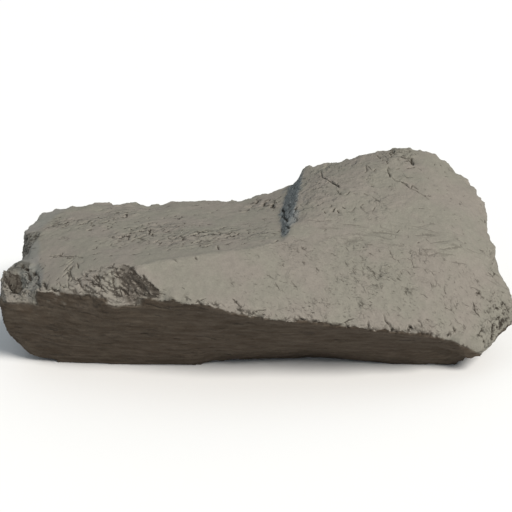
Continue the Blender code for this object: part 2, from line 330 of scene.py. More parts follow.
def stoneZones(places, facing):
    # how far each place belongs to each kind of surface, from 0 to 1
    x, y, z = (places / millimetre).T
    east, north, up = facing.T
    sway = rollingNoise(places, 5.0 * millimetre, 2) * stoneValues["wander"]

    def patch(name):
        soft, wavy, corners = stonePatches[name]
        return insidePatch(x + sway, y + sway, soft, corners) if wavy else insidePatch(x, y, soft, corners)

    top = rise(up, 0.45, 0.75)
    crease = creaseLine(x)
    above = rise(y - crease, -3, 3) * top
    zones = {}
    zones["band"] = numpy.maximum(patch("band"), patch("band tip")) * rise(up, -0.25, 0.1) * rise(z, 48, 52)
    zones["lump"] = patch("lump") * rise(z, 46, 49)
    zones["hollow"] = patch("hollow") * rise(z, 46, 49)
    zones["tarnish"] = patch("tarnish") * rise(z, 46, 50)
    zones["corner"] = patch("corner") * rise(z, 12, 18)
    zones["crown"] = patch("crown") * top
    rough = numpy.maximum.reduce([zones["band"], zones["lump"], zones["tarnish"]])
    # the stain, partly painted shade, starts where the skin turns down, but at the front right corner below a
    # falling ridge; it also takes the low left end
    nearCorner = rise(x, 98, 103) * rise(-y, 40, 50)
    belowRidge = rise(31.0 - (x - 102.0) * 0.65 - z, -0.5, 0.5)
    cornerStainShade = numpy.maximum(belowRidge, rise(-up, 0.5, 0.7))
    stainShadeMask = rise(-up, 0.0, 0.14) * (1 - nearCorner) + cornerStainShade * nearCorner
    lowEnd = rise(-z, -49, -46) * rise(-x, 120, 132)
    zones["under"] = numpy.maximum(stainShadeMask * rise(-z, -92, -78), lowEnd) * (1 - rough)
    zones["slope"] = rise(crease - y, -3, 3) * rise(up, 0.1, 0.3) * rise(x, -64, -54) * (1 - rough)
    zones["shelf"] = above * rise(-x, -18, -8) * rise(x, -140, -132) * (1 - rough)
    zones["plateau"] = above * rise(x, 18, 26)
    # the wall between shelf and plateau, which doesn't reach round the back
    wall = rise(-east, 0.35, 0.6) * rise(x, 6, 12) * rise(-x, -30, -25) * rise(z, 66, 70)
    zones["wall"] = numpy.maximum(wall, patch("wall foot") * 0.75) * (1.0 - rise(north, 0.15, 0.4))
    zones["back"] = rise(y, 20, 45) * rise(north, 0.3, 0.6)
    zones["side"] = rise(numpy.abs(east), 0.5, 0.8) * rise(numpy.abs(x), 110, 130) * (1 - rough)
    zones["furrowed"] = numpy.maximum(patch("furrowed"), patch("furrowed tip")) * zones["band"]
    # tints: a bluish painted shade where faces turn from the light, a blackening of the left end's rough
    # pieces and of the hollow facet, where it is partly painted shade, and the brown of the under side,
    # partly stain and partly painted shade
    # a bluish painted shade where faces turn from the light: the wall, the left end and its rim
    ends = patch("cold end") * 0.38 + patch("cold block") * 0.42 + patch("cold rim") * 0.35
    ends *= rise(z, 48, 51)
    zones["cold"] = numpy.maximum.reduce([zones["wall"], zones["tarnish"] * 0.25, ends])
    # darker on the left end's rough pieces; on the hollow facet this is partly painted shade
    darkening = numpy.maximum(patch("grimy top"), patch("grimy chunk") * 0.75) * rise(z, 50, 53)
    darkening = numpy.maximum(darkening, zones["tarnish"] * 0.7)
    zones["grimy"] = numpy.maximum.reduce([darkening, zones["lump"] * 0.25, zones["hollow"]])
    # painted shade on the front face below the lip, in the under side's brown
    lip = patch("soiled lip") * rise(-z, -58.5, -57.5) * 0.97
    zones["soiled"] = numpy.maximum.reduce([zones["under"], zones["hollow"] * 0.5, lip])
    zones["rugged"] = numpy.maximum.reduce([zones["lump"], zones["tarnish"], zones["corner"] * 0.7])
    return zones


def pullOutline(stone):
    selectOnly(stone)
    for place, move, reach in stonePulls:
        bpy.ops.object.mode_set(mode="EDIT")
        bpy.ops.mesh.select_mode(type="VERT")
        bpy.ops.mesh.select_all(action="DESELECT")
        bpy.ops.object.mode_set(mode="OBJECT")
        spot = Vector(place) * millimetre
        min(stone.data.vertices, key=lambda vertex: (vertex.co - spot).length).select = True
        bpy.ops.object.mode_set(mode="EDIT")
        bpy.ops.transform.translate(value=Vector(move) * millimetre, use_proportional_edit=True,
                                    proportional_edit_falloff="SMOOTH", proportional_size=reach * millimetre)
    bpy.ops.object.mode_set(mode="OBJECT")
    places, _ = readMesh(stone)
    places[:, 2] = numpy.maximum(places[:, 2], 0)
    writeMesh(stone, places)


def smoothFacets(stone, grid):
    # rounds the broad faces off, and leaves the edges that stand out and the crease crisper
    pairs = readEdges(stone)
    places, facing = readMesh(stone)

    def relaxed(reach):
        return relax(places, pairs, int((reach * millimetre / grid) ** 2))

    bulge = ((places - relaxed(3.0)) * facing).sum(1) / millimetre
    crisp = rise(bulge, *stoneValues["crispEdge"])
    x, y = (places[:, :2] / millimetre).T
    fold = rise(-numpy.abs(y - creaseLine(x)), -5.0, -2.0) * rise(x, -75, -60) * rise(-x, -40, -10)
    share = (1.0 - numpy.maximum(crisp, fold * 0.8))[:, None]
    calm, sharp = relaxed(stoneValues["calmReach"]), relaxed(stoneValues["crispReach"])
    writeMesh(stone, calm * share + sharp * (1.0 - share))
    return crisp


def addGroup(piece, name, weights):
    levels = 24
    group = piece.vertex_groups.new(name=name)
    steps = numpy.rint(numpy.clip(weights, 0.0, 1.0) * levels).astype(int)
    for level in range(1, levels + 1):
        chosen = numpy.nonzero(steps == level)[0]
        if len(chosen):
            group.add(chosen.tolist(), level / levels, "REPLACE")


def displace(piece, group, grain, height, turn=0.0, stretch=1.0, **settings):
    pattern = bpy.data.textures.new(piece.name + group, "CLOUDS")
    for name, value in settings.items():
        setattr(pattern, name, value)
    bpy.ops.object.empty_add(location=(0, 0, 0), rotation=(0, 0, math.radians(turn)))
    guide = bpy.context.object
    guide.scale = Vector((stretch, 1.0, 1.0)) * grain * millimetre
    bpy.context.view_layer.update()
    applyModifier(piece, "DISPLACE", texture=pattern, texture_coords="OBJECT", texture_coords_object=guide,
                  strength=height * millimetre, vertex_group=group)
    bpy.data.objects.remove(guide)


# relief by vertex group: the size of its grain and its height in mm, and how it is drawn out
# along a plan direction
stoneRelief = [
    ("all", 14, 0.6, {"noise_depth": 1}),  # slow swells of the broad faces
    ("crisp", 4.5, 1.5, {"noise_depth": 2}),  # broken edges that wander
    ("band", 3.4, 0.9, {"turn": -48, "stretch": 4.0, "noise_type": "HARD_NOISE", "noise_depth": 1}),
    ("rugged", 4.0, 2.0, {"noise_type": "HARD_NOISE", "noise_depth": 2}),
    ("shelf", 3.0, 0.3, {"turn": 42, "stretch": 5.0, "noise_depth": 1}),
    ("under", 2.4, 0.5, {"stretch": 7.0, "noise_depth": 1}),
    ("grained", 2.8, 0.28, {"noise_depth": 1}),  # small unevenness nearly all over
]

# listed marks: half width and depth in mm, how dark, how far the ground falls away on the left of
# each path, whether it opens at its last end, and the paths' plan points in mm
stoneMarks = {
    "cracks": {"width": 0.95, "depth": 1.5, "dark": 1.0, "paths": [
        [(42, 34), (45, 29), (49, 20)], [(80, 36), (81, 33), (81, 29)], [(87, 25), (90, 23), (92, 19)],
    ]},
    "fine cracks": {"width": 0.7, "depth": 0.8, "dark": 0.85, "paths": [
        [(39, 56), (39, 40), (42, 34)], [(93, 19), (94, 22), (97, 18), (97, 17)],
        [(92, 19), (95, 17), (98, 14)], [(98, 14), (100, 12), (103, 9)], [(82, 29), (84, 26), (87, 25)],
        [(81, 42), (80, 37), (81, 33)], [(80, 49), (81, 44)], [(83, 57), (86, 57)], [(85, 39), (88, 40)],
        [(92, 40), (98, 42)], [(81, 41), (82, 38)], [(67, 46), (67, 37), (65, 34)], [(63, 11), (66, 9)],
        [(68, 8), (72, 3)], [(46, -80), (49, -78), (52, -77)], [(-2, -83), (3, -82)],
        [(-36, -84), (-30, -82)], [(-16, -80), (-13, -82), (-10, -84)],
    ]},
    "pits": {"width": 1.1, "depth": 1.8, "dark": 1.0, "paths": [
        [(41, 57), (43, 60), (44, 62)], [(97, 53), (97, 44)], [(85, 61), (86, 58)],
    ]},
    "lip cracks": {"width": 1.1, "depth": 2.0, "dark": 1.0, "open": True, "paths": [
        [(69, -71), (70, -74), (72, -75), (74, -77), (76, -80)], [(60, -76), (61, -81)],
        [(85, -73), (87, -75)], [(20, -81), (23, -83), (26, -84)], [(27, -82), (31, -83)],
        [(110, -62), (112, -64)],
    ]},
    "plateau nicks": {"width": 0.9, "depth": 1.0, "dark": 1.0, "fall": 1.0, "paths": [
        [(41, -3), (43, -1)], [(43, -8), (44, -5), (45, -4)], [(46, -6), (47, -9)], [(35, 1), (38, 4)],
        [(49, -3), (51, -5)], [(38, -6), (39, -9)],
    ]},
    "plateau ticks": {"width": 0.65, "depth": 0.5, "dark": 0.85, "paths": [
        [(32, 0), (35, 2)], [(36, -5), (38, -3)], [(55, -7), (57, -3)], [(60, -2), (61, -4)],
        [(67, -7), (69, -3)], [(55, -16), (56, -14)], [(47, 17), (48, 13), (49, 9)], [(51, 47), (52, 48)],
        [(83, 60), (84, 54), (87, 57)], [(89, 52), (92, 51), (95, 52)], [(80, 49), (81, 44)],
        [(75, 60), (77, 53)], [(71, 35), (73, 39)], [(68, 45), (70, 37)], [(116, 25), (117, 25)],
        [(68, 31), (69, 30)], [(68, 19), (70, 20)], [(61, -1), (62, 0)], [(24, 9), (25, 7)],
        [(25, 25), (26, 23)], [(52, 8), (55, 13)], [(82, -20), (80, -23)],
    ]},
    "slope ticks": {"width": 0.55, "depth": 0.35, "dark": 0.72, "paths": [
        [(87, -41), (88, -45), (92, -45)], [(94, -45), (95, -46)], [(98, -45), (100, -47)],
        [(75, -39), (76, -42)], [(77, -53), (80, -54)], [(82, -56), (84, -57)], [(82, -58), (83, -60)],
        [(91, -58), (93, -58), (95, -59)], [(97, -51), (98, -53), (98, -54)],
        [(106, -49), (106, -52), (106, -53)], [(105, -58), (107, -58), (110, -57)],
        [(77, -66), (79, -67)], [(86, -72), (87, -73)], [(118, -50), (121, -49)], [(80, -49), (81, -51)],
        [(84, -48), (86, -50)], [(79, -43), (80, -45)], [(61, -49), (63, -51)], [(48, -48), (50, -51)],
        [(52, -53), (54, -55)], [(57, -43), (59, -45)], [(63, -41), (65, -43)], [(45, -59), (47, -61)],
        [(64, -51), (65, -54)], [(122, -41), (125, -40), (129, -39)], [(125, -42), (127, -42)],
        [(129, -41), (131, -41)], [(123, -46), (126, -46)], [(132, -44), (134, -44)],
        [(124, -49), (128, -49)], [(111, -59), (113, -59)], [(102, -65), (104, -65)],
        [(116, -59), (118, -59)], [(49, -38), (51, -41)], [(62, -41), (64, -42)], [(23, -41), (26, -43)],
        [(40, -44), (43, -45)], [(25, -47), (27, -49)], [(68, -38), (69, -40)], [(23, -42), (26, -44)],
        [(31, -55), (33, -57)], [(17, -65), (20, -68)], [(8, -67), (11, -72)],
    ]},
    "shelf strokes": {"width": 0.95, "depth": 1.0, "dark": 1.0, "paths": [
        [(-84, 27), (-85, 36)], [(-67, -11), (-67, -6), (-67, 1)], [(-85, -15), (-82, -12)],
        [(-79, -18), (-79, -9)], [(-77, -20), (-74, -16), (-70, -13)], [(-74, -6), (-73, -3)],
        [(-63, -29), (-60, -23)], [(-53, -23), (-50, -21)], [(-44, -22), (-41, -20)],
        [(-41, -20), (-37, -17), (-32, -10)], [(-38, -31), (-35, -29)],
        [(-32, -42), (-31, -37), (-27, -35)], [(-22, -22), (-19, -19), (-17, -13)],
        [(-15, -21), (-13, -17)], [(-25, -39), (-24, -47)], [(-33, -22), (-31, -18)],
        [(3, -31), (5, -28)], [(7, -41), (10, -34)], [(13, -24), (14, -26)], [(-33, 36), (-30, 35)],
        [(-105, 10), (-102, 11)], [(-107, 2), (-104, 5)], [(-105, 47), (-102, 51)],
        [(-62, 22), (-60, 25)], [(-71, 22), (-70, 24)], [(-97, -39), (-95, -36)], [(-88, -6), (-87, -3)],
        [(-48, -19), (-45, -23)], [(-55, -20), (-52, -23)], [(-99, 14), (-94, 19)],
    ]},
    "ramp wedges": {"width": 1.5, "depth": 1.9, "dark": 1.0, "fall": 1.4, "paths": [
        [(-3, 53), (-2, 60)], [(1, 45), (3, 54)], [(6, 39), (9, 48)], [(-12, 33), (-7, 41)],
        [(-8, 45), (-5, 51)], [(7, 37), (8, 43)], [(4, 52), (6, 57)],
    ]},
    "fan": {"width": 0.75, "depth": 0.9, "dark": 0.85, "paths": [
        [(-108, -34), (-111, -35), (-114, -34)], [(-109, -34), (-116, -30), (-122, -28), (-124, -29)],
        [(-111, -35), (-119, -27), (-126, -25)], [(-108, -36), (-111, -39), (-113, -42)],
        [(-108, -40), (-111, -44), (-113, -50)], [(-108, -45), (-109, -51), (-109, -57)],
        [(-109, -48), (-111, -52), (-113, -56)], [(-109, -52), (-107, -59), (-107, -62)],
        [(-111, -50), (-109, -57), (-109, -61)], [(-108, -35), (-104, -38), (-103, -40)],
        [(-106, -44), (-104, -52)],
    ]},
    "furrows": {"width": 0.9, "depth": 1.2, "dark": 0.95, "fall": 1.2, "paths": [
        [(-82, -65), (-80, -67), (-77, -69), (-75, -71)],
        [(-83, -67), (-82, -69), (-82, -71), (-81, -73), (-80, -75)],
        [(-79, -71), (-78, -73), (-77, -75)], [(-76, -68), (-74, -70), (-72, -72)],
        [(-73, -70), (-69, -73), (-66, -76)], [(-70, -72), (-67, -75), (-63, -79)],
        [(-79, -68), (-76, -70), (-74, -72), (-74, -74)], [(-69, -73), (-66, -75), (-61, -80)],
        [(-72, -74), (-69, -75)], [(-83, -69), (-81, -72), (-79, -74), (-77, -75)],
    ]},
    "flutes": {"width": 0.8, "depth": 0.8, "dark": 0.8, "fall": 1.0, "paths": [
        [(-74, -75), (-73, -77)], [(-71, -75), (-71, -77)], [(-69, -76), (-68, -78)],
        [(-66, -77), (-65, -79)],
    ]},
    "facet edge": {"width": 1.1, "depth": 1.2, "dark": 1.0, "fall": 2.0, "paths": [
        [(-56, -79), (-59, -78), (-62, -75), (-66, -73), (-69, -71), (-72, -68), (-75, -63)],
        [(-56, -79), (-60, -77), (-64, -73), (-66, -71)],
    ]},
    "wedges": {"width": 1.3, "depth": 1.5, "dark": 1.0, "fall": 1.5, "paths": [
        [(-96, -67), (-93, -69), (-91, -70), (-87, -72)], [(-93, -63), (-91, -66), (-90, -69)],
    ]},
    "small wedges": {"width": 0.8, "depth": 0.9, "dark": 0.9, "fall": 1.0, "paths": [
        [(-94, -64), (-92, -68), (-89, -70)], [(-102, -62), (-101, -67), (-99, -68)],
        [(-101, -63), (-97, -65), (-94, -67)], [(-94, -71), (-91, -74), (-88, -75)],
        [(-89, -66), (-87, -69)], [(-84, -64), (-83, -67)], [(-104, -60), (-101, -66), (-101, -67)],
    ]},
    "facet lines": {"width": 0.6, "depth": 0.6, "dark": 0.8, "paths": [
        [(-66, -71), (-65, -73), (-62, -76)], [(-109, -61), (-108, -66), (-107, -69)],
        [(-114, -60), (-113, -63)],
    ]},
    "chips": {"width": 1.6, "depth": 1.6, "dark": 1.0, "fall": 1.0, "paths": [
        [(-125, -52), (-124, -55), (-122, -59), (-121, -63)], [(-119, -61), (-116, -65), (-114, -66)],
    ]},
    "small chips": {"width": 0.9, "depth": 1.2, "dark": 0.9, "fall": 1.0, "paths": [
        [(-130, -47), (-127, -54), (-125, -62)], [(-127, -55), (-124, -64)], [(-121, -63), (-119, -66)],
        [(-112, -63), (-110, -66)],
    ]},
    "lump cracks": {"width": 1.5, "depth": 2.0, "dark": 1.0, "paths": [
        [(-144, -48), (-142, -52), (-139, -54), (-135, -56)],
        [(-136, -35), (-135, -38), (-134, -42), (-133, -44)], [(-133, -35), (-132, -38), (-132, -41)],
        [(-141, -31), (-140, -30), (-140, -33)], [(-138, -32), (-136, -34)],
        [(-146, -44), (-143, -46), (-139, -46)],
    ]},
    "lump seams": {"width": 1.0, "depth": 1.0, "dark": 0.9, "fall": 1.5, "paths": [
        [(-138, -34), (-136, -35)], [(-149, -48), (-146, -48), (-144, -48)],
        [(-135, -56), (-138, -53), (-141, -42), (-142, -40), (-143, -37)],
        [(-134, -44), (-137, -46), (-138, -50)], [(-131, -38), (-129, -44), (-130, -47)],
        [(-147, -36), (-146, -41)], [(-149, -40), (-147, -44)],
    ]},
    "wall spots": {"width": 1.1, "depth": 1.2, "dark": 1.0, "paths": [
        [(13, 30), (15, 17)], [(14, 10), (16, -8)], [(15, -14), (17, -22)], [(14, 26), (14, 7)],
        [(20, -1), (22, 8)], [(15, 0), (17, -3)], [(13, 18), (13, 12)],
    ]},
    "corner pits": {"width": 1.8, "depth": 1.5, "dark": 1.0, "paths": [
        [(136, -48), (137, -45)], [(135, -50), (137, -49), (138, -48)],
        [(141, -44), (143, -41), (145, -40)], [(141, -42), (142, -42), (144, -40)],
        [(142, -45), (141, -46)],
    ]},
    "corner cracks": {"width": 1.0, "depth": 0.9, "dark": 1.0, "fall": 1.0, "paths": [
        [(142, -37), (144, -35), (147, -34)], [(125, -56), (127, -55), (130, -51)],
        [(124, -48), (127, -49)], [(130, -55), (131, -55)], [(147, -36), (147, -34)],
        [(145, -39), (147, -37)], [(139, -43), (141, -41)], [(124, -46), (125, -47)],
        [(126, -41), (129, -40)], [(138, -40), (141, -39)], [(139, -15), (139, -18)],
        [(138, -20), (140, -24)], [(139, -22), (140, -26)],
    ]},
    "scrapes": {"width": 0.75, "depth": 0.3, "dark": 0.42, "paths": [
        [(28, 26), (34, 24), (40, 25)], [(26, -15), (35, -17), (43, -16)],
        [(47, -19), (54, -20), (59, -20)], [(65, -25), (70, -24), (76, -24), (82, -25)],
        [(53, -28), (58, -27)], [(90, -24), (97, -22), (104, -22)], [(94, -34), (100, -32)],
        [(104, -32), (112, -29), (119, -25)], [(97, -37), (105, -33)], [(111, -36), (121, -32)],
        [(98, -29), (112, -24)], [(100, -48), (101, -50), (100, -53)], [(60, -4), (62, -7), (65, -10)],
    ]},
}

# bites out of the upper edge: a plan place, how far its skin goes, and how far round it the rest
# follows, in mm
edgeBites = [
    ((120, 58), (-1.2, -1, -1), 4),
    ((133, 43), (-1.8, -1, -1), 4),
    ((138, 21), (-2, -0.5, -1), 4),
    ((139, 6), (-1.8, 0, -1), 4),
    ((140, -13), (-2.6, 0, -1), 5),
    ((141, -25), (-1.6, 0, -1), 4),
    ((147, -34), (-1, 0, -1), 4),
    ((-124, 63), (0, -1.5, -3), 5),
    ((-119, 65), (0, -2, -3.6), 6),
    ((-112, 60), (0, 0, 1), 4),
    ((21, -10), (-1, 0, -2.4), 8),
    ((-92, 58), (0, -1, -2), 4),
    ((-86, 58), (0, 0, 0.8), 5),
    ((44, 63), (0, -1, -2.5), 3),
    ((-146, -29), (0.5, 0, -4), 4),
    ((-142, -24), (1, 0, 0.5), 3),
]

# where the shelf's strokes gather, in plan mm, and how far round each spot
strokeSpots = [(-82, -15), (-66, -6), (-56, 4), (-42, -20), (-30, -27), (-19, -17), (-6, -22), (-98, 22),
               (-121, 20), (4, 46), (-86, 38), (-48, -31)]
strokeReach = (13, 11)

# random marks by field: how many, their plan direction and its spread in degrees, and the least and most
# length, half width and depth in mm; then whatever isn't as usual: how much they curl in degrees, how far
# the ground falls away beside them in mm, how dark they are and whether they open at their last end
stoneScatter = [
    ("pricked slope", 340, -48, 20, (1.4, 4.2), (0.42, 0.55), (0.12, 0.30), {"dark": 0.72}),
    ("slope", 50, -50, 40, (1.2, 3.0), (0.45, 0.55), (0.12, 0.3), {"dark": 0.8}),
    ("scraped", 60, -4, 5, (7.0, 18.0), (0.6, 0.8), (0.1, 0.25), {"curl": 10, "dark": 0.4}),
    ("lip", 190, -62, 18, (1.5, 5.0), (0.7, 1.2), (0.5, 1.4), {"openEnd": True}),
    ("plateau", 170, -10, 90, (1.4, 4.0), (0.5, 0.7), (0.2, 0.5), {"curl": 110, "dark": 0.8}),
    ("crown", 70, -20, 90, (1.2, 4.0), (0.55, 0.8), (0.25, 0.7), {"curl": 110, "dark": 0.85}),
    ("gathered shelf", 330, 42, 18, (1.8, 6.0), (0.65, 0.95), (0.4, 1.1), {"fall": 0.9, "dark": 1.4}),
    ("shelf", 110, 42, 18, (1.8, 6.0), (0.55, 0.8), (0.12, 0.35), {"dark": 1.2}),
    ("gathered shelf", 40, 42, 12, (6.0, 13.0), (0.6, 0.8), (0.3, 0.7), {"fall": 2.0, "dark": 0.7}),
    ("furrowed", 80, 130, 9, (4.0, 11.0), (0.6, 0.95), (0.5, 1.3), {"curl": 16, "fall": 1.2}),
    ("band", 90, 130, 12, (2.5, 8.0), (0.55, 0.9), (0.5, 1.3), {"curl": 16, "fall": 1.2}),
    ("lump", 60, -50, 50, (1.5, 4.5), (0.6, 0.9), (0.5, 1.2), {"curl": 40, "fall": 0.8, "dark": 0.85}),
    ("tarnish", 45, 80, 60, (1.6, 3.6), (0.9, 1.3), (0.7, 1.4), {"curl": 50, "dark": 1.3}),
    ("corner", 70, 30, 50, (1.2, 4.0), (0.5, 0.75), (0.4, 1.0), {"curl": 30, "fall": 1.0}),
    ("wall", 50, 70, 50, (2.0, 6.0), (0.8, 1.2), (0.4, 1.0), {}),
    ("under", 700, 0, 8, (4.0, 16.0), (0.65, 1.1), (0.2, 0.6), {"curl": 15}),
    ("hidden", 500, 15, 40, (3.0, 10.0), (0.8, 1.3), (0.3, 0.9), {}),
]

# thin sheets by field: their size in mm, plan direction in degrees and stretch, how many steps they
# have, a shift that gives each its own pattern, and how high they stand in mm
stoneFlakes = [
    ("shelf", 6.0, 42, 3.0, 4.0, 0.0, 1.0),
    ("slope", 5.0, -48, 1.8, 4.0, 5.0, 0.2),
    ("plateau", 5.5, -10, 1.3, 4.0, 11.0, 0.22),
    ("under", 8.0, 0, 4.0, 5.0, 17.0, 0.55),
    ("hidden", 12.0, 15, 2.0, 5.0, 23.0, 1.1),
]


def gatherStrokes(places):
    x, y = (places[:, :2] / millimetre).T
    wide, deep = strokeReach
    strength = sum(numpy.exp(-((x - a) / wide) ** 2 - ((y - b) / deep) ** 2) for a, b in strokeSpots)
    return numpy.minimum(strength, 1)


def dropOn(stone, x, y):
    # the stone's skin below a plan point, or a little nearer the middle if the point is past its edge
    for inward in range(20):
        share = (1.0 - inward * 0.008) * millimetre
        hit, place, _, _ = stone.ray_cast(Vector((x * share, y * share, 1.0)), Vector((0, 0, -1)))
        if hit:
            return place
    raise ValueError("no stone near " + str((x, y)))


def growTree(places):
    tree = kdtree.KDTree(len(places))
    for index, spot in enumerate(places.tolist()):
        tree.insert(spot, index)
    tree.balance()
    return tree


def bend(heading, facing, turn):
    # a heading turned in the surface by some degrees
    side = facing.cross(heading)
    return heading * math.cos(math.radians(turn)) + side * math.sin(math.radians(turn))


def pathGaps(spots, line):
    # for each flat spot: how far from the line, how far along it from 0 to 1, and on which side
    lengths = [math.dist(first, last) for first, last in zip(line, line[1:])]
    gap = numpy.full(len(spots), 1e6)
    way = numpy.zeros(len(spots))
    side = numpy.zeros(len(spots))
    before = 0.0
    for first, last, length in zip(line, line[1:], lengths):
        run = numpy.array(last) - numpy.array(first)
        offset = spots - numpy.array(first)
        share = numpy.clip(offset @ run / max(length, 1e-6) ** 2, 0, 1)
        rest = offset - share[:, None] * run
        distance = numpy.hypot(rest[:, 0], rest[:, 1])
        closer = distance < gap
        gap = numpy.where(closer, distance, gap)
        way = numpy.where(closer, (before + share * length) / sum(lengths), way)
        side = numpy.where(closer, run[0] * rest[:, 1] - run[1] * rest[:, 0], side)
        before += length
    return gap, way, side


class MarkBook:
    # gathers how deep and how dark the marks leave each vertex
    def __init__(self, stone):
        self.dice = numpy.random.default_rng(stoneValues["seed"])
        self.places, self.facing = readMesh(stone)
        self.broad = relax(self.facing, readEdges(stone), 12)
        self.tree = growTree(self.places)
        size = len(self.places)
        self.depth = numpy.zeros(size)
        self.dark = numpy.zeros(size)  # how strongly the nearest mark shows
        self.line = numpy.full(size, 9.0)  # how far off its middle is, below 0 on its right
        self.near = numpy.zeros(size)

    def heading(self, index):
        return Vector(self.broad[index]).normalized()

    def carve(self, path, width, depth, dark=1.0, fall=0.0, openEnd=False):
        # fall above 0 lets the ground step down on the left side and run out
        middle = sum(path, Vector()) / len(path)
        out = self.heading(self.tree.find(middle)[1])
        along = path[-1] - path[0]
        along = (along - out * along.dot(out)).normalized()
        across = out.cross(along)
        reach = (path[-1] - path[0]).length * 0.6 + (width * 2 + fall * 2.5) * millimetre
        found = numpy.array([hit[1] for hit in self.tree.find_range(middle, reach)], dtype=int)
        if len(found) < 3:
            return
        local = (self.places[found] - numpy.array(middle)) / millimetre
        # only skin that faces about the same way and isn't far above or below
        level = (self.facing[found] @ numpy.array(out) > 0.15) & (numpy.abs(local @ numpy.array(out)) < 6)
        found, local = found[level], local[level]
        spots = numpy.stack([local @ numpy.array(along), local @ numpy.array(across)], axis=1)
        steps = [spot - middle for spot in path]
        line = [(step.dot(along) / millimetre, step.dot(across) / millimetre) for step in steps]
        gap, way, side = pathGaps(spots, line)
        # a mark thins out toward both ends, or toward its first end where the last one is open
        if openEnd:
            taper = numpy.clip(way * 1.6 + 0.1, 0, 1)
            ends = taper
        else:
            taper = numpy.sqrt(numpy.clip(4 * way * (1 - way), 0, 1)) * 0.85 + 0.15
            ends = rise(4 * way * (1 - way), 0.0, 0.4)
        cut = numpy.clip(1 - (gap / (width * (0.45 + 0.55 * taper))) ** 2, 0, 1) ** 1.5 * taper
        lower = cut * depth
        if fall > 0:
            beside = (side > 0) & (way > 0.001) & (way < 0.999)
            lower = numpy.maximum(lower, numpy.where(beside, numpy.exp(-gap / fall) * depth * taper, 0))
        self.depth[found] = numpy.maximum(self.depth[found], lower)
        # painted shade down the middle of the mark
        paintedMarkShade = dark * ends * rise(-gap, -width - 1.0, -width * 0.5)
        self.dark[found] = numpy.maximum(self.dark[found], paintedMarkShade)
        near = 1 - gap / (width + 1.2)
        offLine = numpy.copysign(gap, side) / (width * stoneValues["lineShare"])
        self.line[found] = numpy.where(near > self.near[found], offLine, self.line[found])
        self.near[found] = numpy.maximum(self.near[found], near)

    def scatter(self, weights, count, turn, spread, length, width, depth, curl=60.0, fall=0.0, dark=1.0,
                openEnd=False):
        dice = self.dice
        for index in dice.choice(len(weights), count, p=weights / weights.sum()):
            out = self.heading(index)
            angle = math.radians(turn + dice.normal() * spread)
            heading = Vector((math.cos(angle), math.sin(angle), 0))
            heading = (heading - out * heading.dot(out)).normalized()
            size = length[0] * (length[1] / length[0]) ** (dice.random() ** 1.6) * millimetre
            curve = dice.normal() * curl / 3
            spot = Vector(self.places[index]) - heading * size / 2
            path = [spot]
            heading = bend(heading, out, -curve)
            for _ in range(3):
                spot = spot + heading * size / 3
                path.append(spot)
                heading = bend(heading, out, curve + dice.normal() * 10)
            strength = 0.3 + 0.7 * dice.random() ** 1.5
            self.carve(path, dice.uniform(*width), dice.uniform(*depth) * strength, dark * strength,
                       fall, openEnd)


def seatedShare(places):
    # 0 at the foot, which stays flat, and 1 from 3 mm above it
    return 1.0 - rise(-places[:, 2] / millimetre, -3.0, -0.5)


def markStone(stone, crisp):
    book = MarkBook(stone)
    places = book.places
    zones = stoneZones(places, relax(book.facing, readEdges(stone), 4))
    x, y = (places[:, :2] / millimetre).T
    for kind in stoneMarks.values():
        for points in kind["paths"]:
            path = [dropOn(stone, *point) for point in points]
            book.carve(path, kind["width"], kind["depth"], kind["dark"], kind.get("fall", 0.0),
                       kind.get("open", False))
    # the slope is pricked more and more toward the right, in clumps
    east = rise(x, -30, 35)
    broad = patchy(places, 16.0, -0.15, 0.45)
    close = patchy(places, 7.0, 0.0, 0.5, 9.0)
    clumps = 0.16 + broad * (0.25 + 0.8 * close)
    gathered = 0.06 + gatherStrokes(places)
    hidden = zones["back"] + zones["side"]
    fields = {
        **zones,
        "pricked slope": zones["slope"] * east * clumps,
        "slope": zones["slope"] * clumps,
        "scraped": (zones["slope"] + zones["plateau"]) * rise(-numpy.abs(y + 26), -14, -6) * rise(x, 20, 30),
        "lip": zones["slope"] * crisp * rise(-y, 50, 60) + zones["band"] * crisp * 0.5,
        "plateau": zones["plateau"] * clumps,
        "gathered shelf": zones["shelf"] * gathered,
        "under": zones["under"] * (0.3 + clumps),
        "hidden": hidden,
    }
    for field, count, turn, spread, length, width, depth, rest in stoneScatter:
        book.scatter(fields[field], count, turn, spread, length, width, depth, **rest)
    # how worn the skin is, which lets sheets and fine marks show
    worn = zones["slope"] * east * (0.3 + 0.7 * broad)
    worn += zones["plateau"] * (0.12 + rise(-x, -104, -84) * rise(y, -26, -6) * (0.25 + 0.6 * broad))
    worn += zones["crown"] * 0.5
    worn += zones["shelf"] * gathered * 0.85 + zones["wall"]
    worn += zones["lump"] + zones["tarnish"] + hidden * (0.2 + 0.8 * broad) + zones["corner"]
    worn = numpy.clip(worn, 0, 1)
    # thin sheets stand where these fields are strong
    fields = {
        "shelf": zones["shelf"] * (0.04 + 0.4 * worn),
        "slope": zones["slope"] * worn,
        "plateau": zones["plateau"] * worn,
        "under": zones["under"],
        "hidden": hidden,
    }
    sheets = numpy.zeros(len(places))
    for field, size, turn, stretch, levels, shift, height in stoneFlakes:
        sheets += flakes(places, size, turn, stretch, levels, shift) * fields[field] * height
    scooped = zones["hollow"] * (0.3 + 3.4 * rise(-y, 37, 54))
    lowered = book.depth + scooped - sheets * seatedShare(places)
    moved = places - book.facing * (lowered * millimetre)[:, None]
    for place, move, reach in edgeBites:
        gap = numpy.linalg.norm(places - numpy.array(dropOn(stone, *place)), axis=1) / millimetre
        moved += rise(-gap, -reach, 0)[:, None] * numpy.array(move) * millimetre
    writeMesh(stone, moved)
    return book, zones, worn


